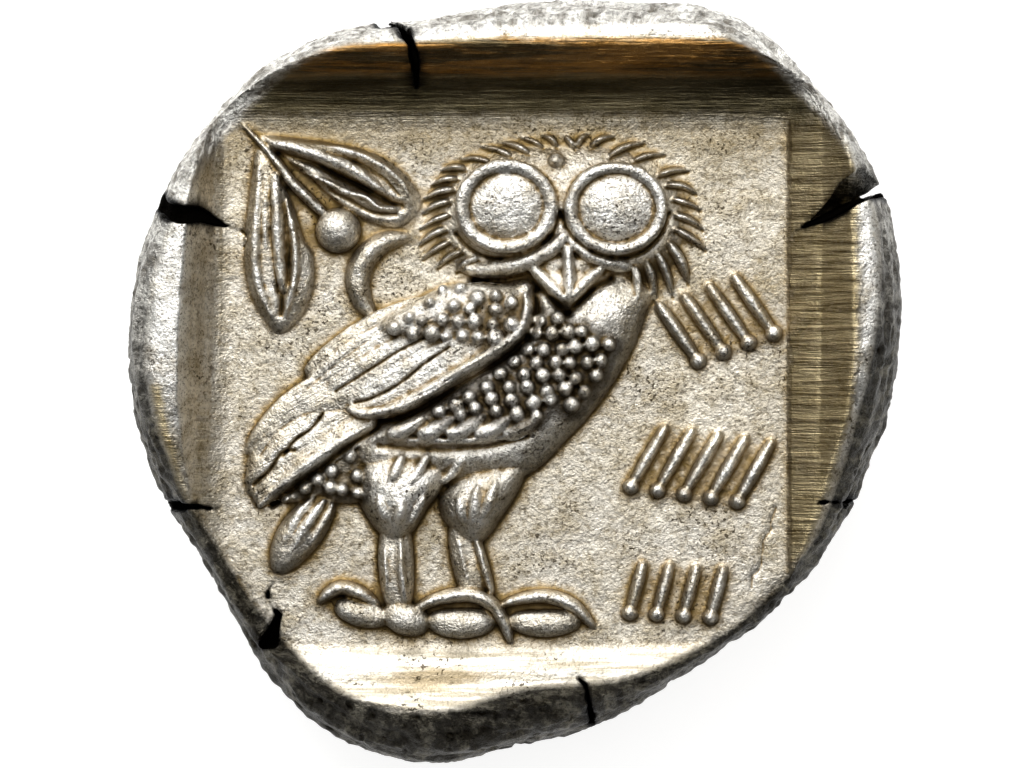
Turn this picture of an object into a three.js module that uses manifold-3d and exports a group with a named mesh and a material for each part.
// Silver tetradrachm, an owl coin of ancient Athens. It is one solid piece: a thick cast flan,
// struck by hand between two dies. The lower side is convex and carries a helmeted head, the
// upper side is punched in as a square with an owl, an olive sprig and a crescent.
//
// Millimetres. +Z points out of the owl side and +Y to the top of it. The origin is under the
// middle of the outline, in the plane of the worn high relief that the coin lies on.

import * as THREE from "three";
import { mergeVertices } from "three/addons/utils/BufferGeometryUtils.js";
import Module from "manifold-3d";

const wasm = await Module();
wasm.setup();

// ---------------------------------------------------------------- driving dimensions

const FIELD_Z = 4.8; // floor of the punched square
const GIRTH_Z = 3.5; // level where the flan is widest
const OBVERSE_Z = 1.2; // middle of the convex side, without its relief
const OBVERSE_RISE = 1.0; // how much higher that side is at its edge
const MEAN_RADIUS = 12.2;

// Flan outline: its radius every 15 degrees, from +X and counter-clockwise.
const OUTLINE_RADII = [
  12.0, 12.6, 13.2, 13.4, 13.5, 12.5, 12.1, 12.0, 12.65, 12.8, 12.75, 12.6,
  12.3, 11.85, 11.5, 11.9, 12.55, 12.5, 11.6, 11.1, 10.7, 10.85, 11.2, 11.45,
];
// Rim crest, every 30 degrees: how far it lies inside the outline, and its height over the field.
const RIM_WIDTHS = [1.4, 0.8, 0.95, 1.25, 0.75, 0.9, 1.25, 1.1, 1.55, 1.8, 1.0, 0.9];
const RIM_HEIGHTS = [1.75, 1.8, 1.9, 1.9, 1.8, 1.6, 1.5, 0.4, 0.8, 1.25, 0.6, 0.4];

// Punched square: floor, then a wall in two facets with a narrow ledge between them.
const SQUARE = { left: -9.15, right: 8.6, bottom: -8.4, top: 8.75, corner: 0.5 };
const LOWER_WALL = { run: 1.0, rise: 0.75 };
const UPPER_WALL = { run: 1.0, rise: 1.35 };
const WALL_LEDGE = 0.1;

// Edge cracks from the striking: the tip, the mouth at the edge, its width, and its lowest level.
const CRACKS = [
  { tip: [-8.9, 4.95], mouth: [-12.4, 5.55], width: 0.9, floor: 2.4 },
  { tip: [-3.1, 9.3], mouth: [-4.1, 12.6], width: 0.75, floor: 3.6 },
  { tip: [8.7, 4.85], mouth: [12.9, 6.25], width: 1.25, floor: -1 },
  { tip: [8.9, -3.75], mouth: [12.0, -3.7], width: 0.3, floor: 3.2 },
];

// ---------------------------------------------------------------- making solids

const UP = new THREE.Vector3(0, 0, 1);
const at = (x, y, z = 0) => new THREE.Vector3(x, y, z);

// Ground levels: the flat floor of the square, and the convex side seen face up.
const field = () => FIELD_Z;
const convex = (x, y) => -OBVERSE_Z - OBVERSE_RISE * ((x * x + y * y) / MEAN_RADIUS ** 2);

// Turns a closed three.js geometry into a solid that can be joined and cut.
function solid(geometry) {
  const bare = new THREE.BufferGeometry();
  bare.setAttribute("position", geometry.getAttribute("position"));
  bare.setIndex(geometry.getIndex());
  const merged = mergeVertices(bare, 1e-4);
  const corners = merged.index.array;
  const faces = [];
  for (let i = 0; i < corners.length; i += 3) {
    const [a, b, c] = corners.subarray(i, i + 3);
    if (a !== b && b !== c && c !== a) faces.push(a, b, c);
  }
  return new wasm.Manifold(
    new wasm.Mesh({
      numProp: 3,
      vertProperties: merged.attributes.position.array,
      triVerts: new Uint32Array(faces),
    }),
  );
}

function geometryOf(shape) {
  const mesh = shape.getMesh();
  const geometry = new THREE.BufferGeometry();
  geometry.setAttribute("position", new THREE.BufferAttribute(mesh.vertProperties, 3));
  geometry.setIndex(new THREE.BufferAttribute(mesh.triVerts, 1));
  geometry.computeVertexNormals();
  return geometry;
}

// Joins solids by pairs, which keeps each join small.
function join(shapes) {
  if (shapes.length === 1) return shapes[0];
  const half = Math.ceil(shapes.length / 2);
  return join(shapes.slice(0, half)).add(join(shapes.slice(half)));
}

// A ball with every point moved. place(turn, drop) gets the share of a turn about the poles and
// the share of the way from the first pole to the second, and gives the new point.
function mould(segments, rows, place) {
  const ball = new THREE.SphereGeometry(1, segments, rows);
  const { position, uv } = ball.attributes;
  for (let i = 0; i < position.count; i += 1) {
    const p = place(uv.getX(i), 1 - uv.getY(i));
    position.setXYZ(i, p.x, p.y, p.z);
  }
  return solid(ball);
}

// Closed smooth line through points.
const loopThrough = (points) => new THREE.CatmullRomCurve3(points, true, "centripetal");

// A dome over a closed outline: a low mound of the given height, with as much below the ground.
// flat over 0 widens the top of the mound into a plateau.
function mound(outline, height, { ground = field, lift = 0, flat = 0, segments = 16, rows = 4 } = {}) {
  const points = outline.map(([x, y]) => at(x, y));
  if (THREE.ShapeUtils.isClockWise(points)) points.reverse();
  const line = loopThrough(points);
  const middle = points.reduce((sum, p) => sum.add(p), at(0, 0)).divideScalar(points.length);
  return mould(segments, rows, (turn, drop) => {
    const lean = Math.PI * drop;
    const reach = Math.sin(lean) ** (1 / (1 + flat));
    const p = middle.clone().lerp(line.getPoint(turn % 1), reach);
    p.z = ground(p.x, p.y) + lift + height * Math.cos(lean);
    return p;
  });
}

// A long ridge that swells and tapers along a path, such as a feather, a toe or a leaf rib. The
// path's points are [x, y] or [x, y, lift over the ground], and blunt under 1 keeps the ridge
// wide nearly to its ends.
function ridge(path, width, height, { ground = field, blunt = 0.6, sides = 4, steps = 3 } = {}) {
  const points = path.map(([x, y, lift = 0]) => at(x, y, ground(x, y) + lift));
  const line = new THREE.CatmullRomCurve3(points);
  return mould(sides, steps, (turn, drop) => {
    const along = line.getTangentAt(drop);
    const across = at(along.y, -along.x).normalize();
    const swell = (4 * drop * (1 - drop)) ** blunt;
    const angle = 2 * Math.PI * turn + Math.PI / 2;
    return line
      .getPointAt(drop)
      .addScaledVector(across, 0.5 * width * swell * Math.cos(angle))
      .addScaledVector(UP, height * swell * Math.sin(angle));
  });
}

// A round grain or ball on the ground, squashed to the given radius and height.
function pellet(x, y, radius, height, { ground = field, segments = 4, rows = 2 } = {}) {
  const ball = new THREE.SphereGeometry(1, segments, rows);
  ball.rotateX(Math.PI / 2).scale(radius, radius, height).translate(x, y, ground(x, y));
  return solid(ball);
}

// A turned boss on the ground, stretched to an oval. The profile lists [radius, height] from the
// middle outwards, as shares of the oval's radii and of the boss's height.
function boss(x, y, radiusX, radiusY, height, profile, { ground = field, segments = 14 } = {}) {
  const outer = profile.at(-1)[0];
  const line = [[0, -1], [outer, -1], ...profile.toReversed()].map((p) => new THREE.Vector2(...p));
  const lathe = new THREE.LatheGeometry(line, segments);
  lathe.rotateX(Math.PI / 2).scale(radiusX, radiusY, height).translate(x, y, ground(x, y));
  return solid(lathe);
}

// The ground for details that lie on other forms: the top of those forms over a point, or the
// ground beside them.
function topOf(shape, ground = field) {
  const mesh = new THREE.Mesh(geometryOf(shape));
  const ray = new THREE.Raycaster();
  return (x, y) => {
    ray.set(at(x, y, 20), at(0, 0, -1));
    const hits = ray.intersectObject(mesh);
    return hits.length > 0 ? hits[0].point.z : ground(x, y);
  };
}

// ---------------------------------------------------------------- flan, punched square, cracks

const FLAN_SEGMENTS = 48;

// Smooth closed curve of a value given at equal steps of a turn.
function aroundFlan(values) {
  const line = loopThrough(values.map((value, i) => at(i, 0, value)));
  return (turn) => line.getPoint(turn % 1).z;
}

function flan() {
  const radius = aroundFlan(OUTLINE_RADII);
  const rimWidth = aroundFlan(RIM_WIDTHS);
  const rimHeight = aroundFlan(RIM_HEIGHTS);
  // Rows of the ball: 2 for the raised top, 4 down the flank to the girth, 5 under it.
  const [top, flank, under] = [2, 4, 5];
  const rows = top + flank + under;
  return mould(FLAN_SEGMENTS, rows, (turn, drop) => {
    const row = Math.round(drop * rows);
    const angle = 2 * Math.PI * turn;
    const edge = radius(turn);
    const crest = edge - rimWidth(turn);
    const crestZ = FIELD_Z + rimHeight(turn);
    let r;
    let z;
    if (row <= top) {
      r = (crest * row) / top;
      z = row === 0 ? FIELD_Z + 1 : crestZ;
    } else if (row <= top + flank) {
      const lean = (0.5 * Math.PI * (row - top)) / flank;
      r = crest + (edge - crest) * Math.sin(lean);
      z = GIRTH_Z + (crestZ - GIRTH_Z) * Math.cos(lean);
    } else {
      const lean = (0.5 * Math.PI * (rows - row)) / under;
      const share = Math.sin(lean);
      r = edge * share;
      z = OBVERSE_Z + OBVERSE_RISE * share ** 2 + (GIRTH_Z - OBVERSE_Z - OBVERSE_RISE) * share ** 12;
    }
    return at(r * Math.cos(angle), r * Math.sin(angle), z);
  });
}

// The square die that is punched in: two frustums, one on the other, that open upwards.
function die() {
  const frustum = (grow, run, rise, z) => {
    const { left, right, bottom, top, corner } = SQUARE;
    const [x0, x1, y0, y1] = [left - grow, right + grow, bottom - grow, top + grow];
    const square = new THREE.Shape();
    square.moveTo(x0 + corner, y0);
    square.lineTo(x1 - corner, y0);
    square.quadraticCurveTo(x1, y0, x1, y0 + corner);
    square.lineTo(x1, y1 - corner);
    square.quadraticCurveTo(x1, y1, x1 - corner, y1);
    square.lineTo(x0 + corner, y1);
    square.quadraticCurveTo(x0, y1, x0, y1 - corner);
    square.lineTo(x0, y0 + corner);
    square.quadraticCurveTo(x0, y0, x0 + corner, y0);
    const block = new THREE.ExtrudeGeometry(square, {
      depth: 4,
      bevelThickness: rise,
      bevelSize: run,
      bevelSegments: 1,
      curveSegments: 2,
    });
    block.translate(0, 0, z + rise);
    return solid(block);
  };
  const lower = frustum(0, LOWER_WALL.run, LOWER_WALL.rise, FIELD_Z);
  const upperGrow = LOWER_WALL.run + WALL_LEDGE;
  const upper = frustum(upperGrow, UPPER_WALL.run, UPPER_WALL.rise, FIELD_Z + LOWER_WALL.rise);
  return lower.add(upper);
}

// A crack is a wedge, open at the top: a three-sided prism whose floor sinks towards the mouth.
function crack({ tip, mouth, width, floor }) {
  const along = at(mouth[0] - tip[0], mouth[1] - tip[1]).normalize();
  const across = at(-along.y, along.x).multiplyScalar(width / 2);
  const plan = new THREE.Shape([
    new THREE.Vector2(...tip),
    new THREE.Vector2(mouth[0] - across.x, mouth[1] - across.y),
    new THREE.Vector2(mouth[0] + across.x, mouth[1] + across.y),
  ]);
  const wedge = new THREE.ExtrudeGeometry(plan, { depth: 9, bevelEnabled: false });
  const position = wedge.getAttribute("position");
  for (let i = 0; i < position.count; i += 1) {
    const away = Math.hypot(position.getX(i) - tip[0], position.getY(i) - tip[1]);
    if (position.getZ(i) < 1) position.setZ(i, away < 0.1 ? FIELD_Z : floor);
  }
  return solid(wedge);
}

// ---------------------------------------------------------------- olive sprig and crescent

function sprig() {
  const leafAcross = [
    [-8.0, 7.75], [-6.4, 7.55], [-4.9, 7.3], [-3.8, 6.7], [-3.2, 5.8],
    [-3.5, 5.15], [-4.5, 5.15], [-5.7, 5.8], [-6.9, 6.8],
  ];
  const leafDown = [
    [-8.1, 7.2], [-8.45, 5.9], [-8.6, 4.2], [-8.4, 2.9], [-7.55, 1.85],
    [-6.8, 2.6], [-6.5, 3.9], [-6.9, 5.5], [-7.6, 6.9],
  ];
  const leafHeight = 0.4;
  const ribs = [
    [[-7.6, 7.6], [-5.4, 7.25], [-3.6, 5.9]],
    [[-7.2, 7.4], [-5.2, 6.75], [-3.8, 5.9]],
    [[-7.0, 7.0], [-5.2, 5.9], [-3.5, 5.45]],
    [[-8.15, 7.0], [-8.2, 4.4], [-7.75, 2.3]],
    [[-7.7, 6.8], [-7.55, 4.4], [-7.5, 2.2]],
    [[-7.5, 6.5], [-6.95, 4.2], [-7.2, 2.5]],
  ];
  const leaves = [leafAcross, leafDown].map((leaf) =>
    mound(leaf, leafHeight, { flat: 0.6, segments: 14, rows: 3 }),
  );
  const ground = topOf(join(leaves));
  return [
    ...leaves,
    ...ribs.map((rib) => ridge(rib, 0.42, 0.16, { ground })),
    ridge([[-9.1, 8.7], [-7.9, 7.4], [-5.9, 5.1]], 0.5, 0.42, { blunt: 0.4 }),
    pellet(-5.65, 4.8, 0.68, 0.65, { segments: 10, rows: 4 }),
  ];
}

function crescent() {
  const path = [[-3.5, 4.75], [-4.5, 4.3], [-5.0, 3.3], [-4.8, 2.5], [-4.3, 2.0]];
  return ridge(path, 0.75, 0.42, { steps: 8 });
}

// ---------------------------------------------------------------- owl

const FACE = { x: 1.45, y: 5.3, radiusX: 3.55, radiusY: 2.05 };

function owlForms() {
  const body = mound(
    [
      [4.1, 3.1], [4.1, 2.1], [3.6, 0.9], [2.7, -0.5], [1.6, -1.75], [0.3, -2.9], [-1.3, -3.3],
      [-3.6, -3.2], [-5.3, -2.7], [-5.0, -1.2], [-4.2, 0.5], [-3.0, 2.0], [-1.4, 3.1], [1.8, 3.8],
    ],
    1.1,
    { flat: 0.5, segments: 22 },
  );
  const head = mound(
    [
      [-2.3, 4.7], [-2.3, 5.8], [-1.7, 6.8], [-0.4, 7.35], [1.4, 7.5], [3.2, 7.4], [4.6, 6.8],
      [5.2, 5.8], [5.25, 4.8], [4.8, 3.9], [3.6, 3.4], [1.6, 3.1], [-0.5, 3.4], [-1.7, 3.9],
    ],
    0.95,
    { flat: 1.2, segments: 22 },
  );
  const shoulder = mound(
    [
      [0.35, 2.35], [0.05, 2.95], [-0.9, 3.2], [-2.2, 3.0], [-3.4, 2.4], [-4.4, 1.65],
      [-3.3, 1.3], [-2.0, 1.2], [-0.8, 1.15], [0.1, 1.6],
    ],
    0.9,
    { lift: 0.55, flat: 0.8 },
  );
  const rump = mound(
    [[-4.4, -1.8], [-4.4, -3.3], [-5.2, -3.9], [-6.3, -3.7], [-7.5, -3.7], [-6.8, -2.6], [-5.4, -1.9]],
    0.5,
    { segments: 12 },
  );
  const nearThigh = mound(
    [
      [-4.9, -2.2], [-3.6, -1.9], [-2.4, -2.2], [-2.2, -3.1], [-2.8, -3.9], [-3.35, -4.8],
      [-3.85, -5.2], [-4.35, -4.7], [-5.0, -3.6],
    ],
    1.0,
    { segments: 14 },
  );
  const farThigh = mound(
    [
      [-2.3, -3.3], [-1.2, -2.6], [0.2, -2.7], [0.1, -3.3], [-0.45, -4.2], [-0.95, -5.0],
      [-1.45, -5.3], [-2.0, -4.8], [-2.45, -4.0],
    ],
    0.85,
    { segments: 14 },
  );
  return [body, head, shoulder, rump, nearThigh, farThigh];
}

function owlWingAndTail() {
  // Each feather: its path from root to tip with the level of its spine, its width and height.
  const feathers = [
    { path: [[-2.6, 2.4, 0.6], [-4.8, 1.3, 0.5], [-6.6, 0.0, 0.25]], width: 0.8, height: 0.4 },
    { path: [[-2.3, 2.0, 0.8], [-4.4, 0.9, 0.65], [-6.3, -0.25, 0.35]], width: 1.1, height: 0.42 },
    { path: [[-1.7, 1.7, 0.9], [-3.9, 0.55, 0.75], [-6.0, -0.5, 0.45]], width: 0.95, height: 0.4 },
    { path: [[-0.2, 1.5, 0.95], [-2.6, 0.3, 0.8], [-5.3, -0.85, 0.5]], width: 1.25, height: 0.42 },
    { path: [[-4.9, 0.2, 0.3], [-6.7, -1.0, 0.25], [-8.25, -2.3, 0]], width: 1.15, height: 0.45 },
    { path: [[-5.0, -0.7, 0.35], [-7.0, -1.9, 0.25], [-8.6, -3.2, 0]], width: 0.9, height: 0.45 },
    { path: [[-4.0, -0.9, 0.45], [-6.4, -2.4, 0.3], [-8.5, -3.95, 0]], width: 0.95, height: 0.45 },
    { path: [[0.1, 1.5, 0.9], [-2.3, 0.05, 0.85], [-5.1, -1.0, 0.55]], width: 0.4, height: 0.6 },
    { path: [[-4.2, -1.15, 0.5], [-5.6, -1.95, 0.4], [-7.4, -3.15, 0.2]], width: 0.35, height: 0.5 },
  ];
  const tuft = [
    { path: [[-5.8, -3.4, 0], [-6.8, -4.6, 0], [-7.7, -5.9, 0]], width: 1.4, height: 0.6 },
    { path: [[-6.3, -3.5, 0.3], [-7.0, -4.4, 0.3], [-7.7, -5.4, 0.2]], width: 0.4, height: 0.3 },
    { path: [[-6.0, -3.6, 0.4], [-6.7, -4.7, 0.4], [-7.4, -5.7, 0.2]], width: 0.4, height: 0.3 },
    { path: [[-5.7, -3.7, 0.2], [-6.3, -4.9, 0.2], [-7.1, -5.8, 0.1]], width: 0.35, height: 0.3 },
  ];
  return [...feathers, ...tuft].map(({ path, width, height }) =>
    ridge(path, width, height),
  );
}

function owlFace(ground) {
  const { x, y, radiusX, radiusY } = FACE;
  const parts = [];
  // Ruff: short feathers round the head that part at the crown and sweep down both sides.
  const rim = (degrees, side, grow) => {
    const angle = THREE.MathUtils.degToRad(degrees);
    return [
      x + side * (radiusX + grow * 1.7) * Math.sin(angle),
      y + (radiusY + grow) * Math.cos(angle),
    ];
  };
  for (const [side, last] of [[-1, 115], [1, 150]]) {
    for (let degrees = 5; degrees < last; degrees += 12) {
      const root = rim(degrees, side, -0.15);
      const tip = rim(degrees + 9, side, 0.5);
      parts.push(ridge([[...root, 0.2], [...tip, 0.1]], 0.4, 0.35, { sides: 3, steps: 2 }));
    }
  }
  // Eyes: a domed ball in an oval ring.
  const eyeProfile = [[0, 1], [0.45, 0.8], [0.78, 0.1], [0.92, 0.75], [1.08, -0.2]];
  parts.push(boss(-0.35, 5.57, 1.45, 1.3, 0.42, eyeProfile, { ground }));
  parts.push(boss(3.15, 5.58, 1.4, 1.3, 0.42, eyeProfile, { ground }));
  // Brows that run down from between the eyes, and the beak with its middle ridge.
  const lines = [
    { path: [[1.5, 4.95], [0.7, 4.25], [-0.2, 3.9], [-1.5, 3.75]], width: 0.55, height: 0.35 },
    { path: [[1.6, 4.95], [2.4, 4.2], [3.2, 3.8], [4.0, 3.65]], width: 0.5, height: 0.35 },
    { path: [[1.62, 4.6], [1.68, 3.6], [1.7, 2.6]], width: 0.5, height: 0.6 },
    { path: [[0.4, 3.75], [1.0, 3.25], [1.68, 2.7]], width: 0.4, height: 0.45 },
    { path: [[2.9, 3.65], [2.3, 3.25], [1.72, 2.7]], width: 0.4, height: 0.45 },
  ];
  for (const { path, width, height } of lines) {
    parts.push(ridge(path, width, height, { ground }));
  }
  parts.push(pellet(1.28, 7.05, 0.22, 0.25, { ground }));
  return parts;
}

function owlPlumage(ground) {
  const parts = [];
  // Down on the wing's shoulder: four rows of grains, larger towards the bend of the wing.
  const shoulderRows = [
    { y: 2.95, from: -2.4, count: 5 },
    { y: 2.5, from: -2.85, count: 6 },
    { y: 2.03, from: -3.45, count: 7 },
    { y: 1.6, from: -3.8, count: 7 },
  ];
  for (const { y, from, count } of shoulderRows) {
    for (let i = 0; i < count; i += 1) {
      const x = from + 0.55 * i;
      const radius = 0.17 + 0.02 * Math.max(0, x + 2.6);
      parts.push(pellet(x, y, radius, 0.2, { ground }));
    }
  }
  // Down on the breast: rows that follow the lower edge of the wing.
  for (let row = 0; row < 6; row += 1) {
    for (let i = 0; i < 10; i += 1) {
      const share = (i + 0.5 * (row % 2)) / 9;
      const bend = 0.9 * share ** 2;
      const x = -2.95 + 3.8 * share - 0.2 * bend + 0.55 * row;
      const y = -0.95 + 2.7 * share + 1.25 * bend - 0.38 * row;
      const insideBreast = y < 3.0 && y > -1.05 && x < 3.9 - 0.45 * (2.4 - y) - 0.06 * (y - 2) ** 2;
      if (insideBreast) parts.push(pellet(x, y, 0.22, 0.2, { ground }));
    }
  }
  // Short covert feathers in a row along the bottom of the breast.
  for (let x = -4.2; x < 0.5; x += 0.9) {
    const path = [[x, -1.7], [x + 0.6, -1.5], [x + 1.3, -1.05]];
    parts.push(ridge(path, 0.5, 0.25, { ground }));
  }
  // Down on the rump, over the tuft.
  const rumpGrains = [[-5.2, -2.35], [-5.75, -2.75], [-5.05, -2.9], [-6.3, -3.05], [-5.5, -3.4]];
  for (const [x, y] of rumpGrains) {
    parts.push(pellet(x, y, 0.22, 0.2, { ground }));
  }
  // Strokes of feather on the thighs.
  for (const [x, y] of [[-3.9, -2.6], [-3.0, -2.65], [-1.1, -3.3], [-3.5, -3.7]]) {
    const path = [[x + 0.25, y + 0.4], [x, y], [x - 0.25, y - 0.45]];
    parts.push(ridge(path, 0.35, 0.22, { ground }));
  }
  return parts;
}

function owlLegsAndFeet() {
  const limbs = [
    // near leg and its ridge, far leg and its ridge
    { path: [[-3.85, -4.3], [-3.82, -5.7], [-3.7, -7.1]], width: 1.1, height: 0.7, blunt: 0.2 },
    { path: [[-3.6, -4.6], [-3.55, -5.8], [-3.4, -7.0]], width: 0.4, height: 0.82, blunt: 0.3 },
    { path: [[-1.85, -4.3], [-1.6, -5.5], [-1.2, -6.8]], width: 1.0, height: 0.5, blunt: 0.2 },
    { path: [[-1.35, -4.5], [-1.1, -5.6], [-0.7, -6.7]], width: 0.35, height: 0.6, blunt: 0.3 },
    // hind claw, then the pads and the toes that arch over them
    { path: [[-4.4, -7.1], [-5.1, -6.45], [-5.8, -6.45], [-6.4, -7.05]], width: 0.5, height: 0.45 },
    { path: [[-5.7, -7.05], [-4.9, -7.35], [-4.0, -7.55]], width: 0.8, height: 0.55 },
    { path: [[-4.1, -7.0], [-3.55, -7.4], [-2.8, -7.7]], width: 1.05, height: 0.72 },
    { path: [[-2.85, -7.55], [-1.75, -7.6], [-0.6, -7.5]], width: 1.05, height: 0.62 },
    { path: [[-0.3, -7.55], [0.9, -7.6], [2.1, -7.5]], width: 0.95, height: 0.58 },
    { path: [[-3.3, -7.2], [-2.3, -6.7], [-1.2, -6.65], [-0.1, -8.3]], width: 0.55, height: 0.72 },
    { path: [[-0.4, -7.0], [0.6, -6.7], [1.5, -6.85], [2.6, -7.75]], width: 0.45, height: 0.6 },
  ];
  return limbs.map(({ path, width, height, blunt }) =>
    ridge(path, width, height, { blunt, steps: 5 }),
  );
}

// ---------------------------------------------------------------- legend

// Where a legend runs down the side of the owl: three rows of plain slanting strokes, each
// stroke ending in a grain.
function legend() {
  const rows = [
    { x: 6.3, y: 2.1, count: 4, length: 2.3, lean: 125, slope: 20 },
    { x: 5.9, y: -2.5, count: 5, length: 2.3, lean: 60, slope: -8 },
    { x: 5.1, y: -6.5, count: 4, length: 1.7, lean: 75, slope: -3 },
  ];
  const spacing = 0.85;
  const parts = [];
  for (const { x, y, count, length, lean, slope } of rows) {
    const stroke = at(1, 0).applyAxisAngle(UP, THREE.MathUtils.degToRad(lean));
    const step = at(spacing, 0).applyAxisAngle(UP, THREE.MathUtils.degToRad(slope));
    for (let i = 0; i < count; i += 1) {
      const middle = at(x, y).addScaledVector(step, i - (count - 1) / 2);
      const head = middle.clone().addScaledVector(stroke, length / 2);
      const foot = middle.clone().addScaledVector(stroke, -length / 2);
      parts.push(ridge([head.toArray(), foot.toArray()], 0.42, 0.3, { blunt: 0.3 }));
      parts.push(pellet(foot.x, foot.y, 0.25, 0.32));
    }
  }
  return parts;
}

// ---------------------------------------------------------------- obverse

const HELMET = { x: -1.5, y: 2.4, radius: 5.2 };

function helmetPoint(degrees, radius) {
  const angle = THREE.MathUtils.degToRad(degrees);
  return [HELMET.x + radius * Math.cos(angle), HELMET.y + radius * Math.sin(angle)];
}

// The helmeted head is made face up, as it is seen, and turned over at the end.
function obverse() {
  const bowl = Array.from({ length: 12 }, (_, i) => helmetPoint(30 * i, HELMET.radius));
  const face = [
    [4.3, 3.2], [4.75, 1.6], [5.9, 0.3], [5.2, -0.35], [5.45, -1.1], [5.25, -1.9], [5.3, -3.0],
    [4.4, -3.9], [2.4, -4.1], [-0.4, -3.0], [-1.6, 0.0], [1.2, 3.6],
  ];
  const neck = [
    [2.4, -3.0], [1.9, -5.0], [2.9, -7.4], [-0.4, -8.4], [-4.0, -7.4], [-3.6, -5.0],
    [-4.1, -2.4], [-1.0, -1.0],
  ];
  const dome = (outline, height, segments) =>
    mound(outline, height, { ground: convex, flat: 0.5, segments });
  const forms = join([dome(bowl, 1.45, 18), dome(face, 1.42, 20), dome(neck, 0.9, 12)]);
  const ground = topOf(forms, convex);
  const lines = [
    // edge of the helmet from the brow over the ear to the nape
    { path: [[4.7, 3.1], [2.4, 2.8], [0.2, 0.9], [-1.5, -1.8], [-5.0, -3.2]], width: 0.6 },
    // three olive leaves on the visor
    { path: [[3.2, 3.5], [2.5, 5.5]], width: 0.8 },
    { path: [[1.9, 3.4], [1.1, 5.8]], width: 0.8 },
    { path: [[0.6, 3.0], [-0.3, 5.4]], width: 0.8 },
    // scroll on the back of the bowl
    {
      path: [[-1.8, 0.0], [-3.6, 0.8], [-4.7, 2.4], [-4.3, 4.2], [-3.2, 4.5], [-3.0, 3.4]],
      width: 0.45,
    },
    // brow, lids, nostril and lips
    { path: [[5.0, 2.2], [4.0, 2.4], [3.1, 1.9]], width: 0.4 },
    { path: [[4.8, 1.2], [4.0, 1.6], [3.1, 1.1]], width: 0.25 },
    { path: [[4.8, 1.2], [4.0, 0.8], [3.1, 1.1]], width: 0.25 },
    { path: [[5.4, 0.1], [5.0, 0.2], [4.7, -0.15]], width: 0.35 },
    { path: [[5.6, -0.95], [4.9, -0.9], [4.4, -1.15]], width: 0.4 },
    { path: [[5.4, -1.6], [4.9, -1.55], [4.4, -1.3]], width: 0.4 },
  ];
  const parts = lines.map(({ path, width }) =>
    ridge(path, width, 0.22, { ground, steps: path.length + 1 }),
  );
  // Crest: a band over the bowl, and horsehair fanning out from it in strokes.
  const band = [45, 80, 115, 150, 185, 215].map((degrees) => helmetPoint(degrees, 5.7));
  parts.push(ridge(band, 0.6, 0.7, { ground: convex, blunt: 0.2, steps: 8 }));
  for (let degrees = 48; degrees <= 210; degrees += 13) {
    const path = [helmetPoint(degrees, 6.1), helmetPoint(degrees + 5, 8.4)];
    parts.push(ridge(path, 1.0, 0.6, { ground: convex, blunt: 0.3, sides: 3 }));
  }
  // Waved hair on the temple, the pupil, the earring and the necklace.
  for (let i = 0; i < 4; i += 1) {
    const [x, y] = [3.2 - 1.1 * i, 2.6 - 0.22 * i * i];
    parts.push(ridge([[x, y], [x - 0.5, y - 0.4], [x - 0.6, y - 1.0]], 0.5, 0.2, { ground }));
  }
  parts.push(pellet(4.15, 1.2, 0.28, 0.15, { ground }));
  parts.push(pellet(-0.7, -1.3, 0.55, 0.3, { ground, segments: 8 }));
  for (let i = 0; i < 6; i += 1) {
    const [x, y] = [1.6 - 0.9 * i, -5.9 - 0.1 * (i - 2.5) ** 2];
    parts.push(pellet(x, y, 0.27, 0.22, { ground }));
  }
  return solid(geometryOf(join([forms, ...parts])).rotateY(Math.PI));
}

// ---------------------------------------------------------------- the coin

function coin() {
  const forms = join(owlForms());
  const plumes = join(owlWingAndTail());
  const relief = join([
    ...sprig(),
    crescent(),
    forms,
    plumes,
    ...owlFace(topOf(forms)),
    ...owlPlumage(topOf(forms.add(plumes))),
    ...owlLegsAndFeet(),
    ...legend(),
  ]);
  // The die can press its relief only where there is metal, so the relief ends with the flan.
  const blank = flan();
  const wear = solid(new THREE.BoxGeometry(40, 40, 4).translate(0, 0, -2));
  return join([blank.subtract(die()), relief.intersect(blank), obverse().intersect(flanReach())])
    .subtract(join(CRACKS.map(crack)))
    .subtract(wear);
}

// The space straight under the flan, which keeps the obverse relief inside the outline.
function flanReach() {
  const radius = aroundFlan(OUTLINE_RADII);
  const points = Array.from({ length: FLAN_SEGMENTS }, (_, i) => {
    const angle = (2 * Math.PI * i) / FLAN_SEGMENTS;
    const reach = 0.955 * radius(i / FLAN_SEGMENTS);
    return new THREE.Vector2(reach * Math.cos(angle), reach * Math.sin(angle));
  });
  const column = new THREE.ExtrudeGeometry(new THREE.Shape(points), {
    depth: GIRTH_Z + 2,
    bevelEnabled: false,
  });
  return solid(column.translate(0, 0, -2));
}

const silver = new THREE.MeshStandardMaterial({ color: 0xb9b2a2, roughness: 0.38, metalness: 1 });
const geometry = geometryOf(coin());
geometry.computeBoundingBox();
const middle = geometry.boundingBox.getCenter(new THREE.Vector3());
geometry.translate(-middle.x, -middle.y, 0);

const mesh = new THREE.Mesh(geometry, silver);
mesh.name = "coin";
const part = new THREE.Group();
part.add(mesh);
export default part;
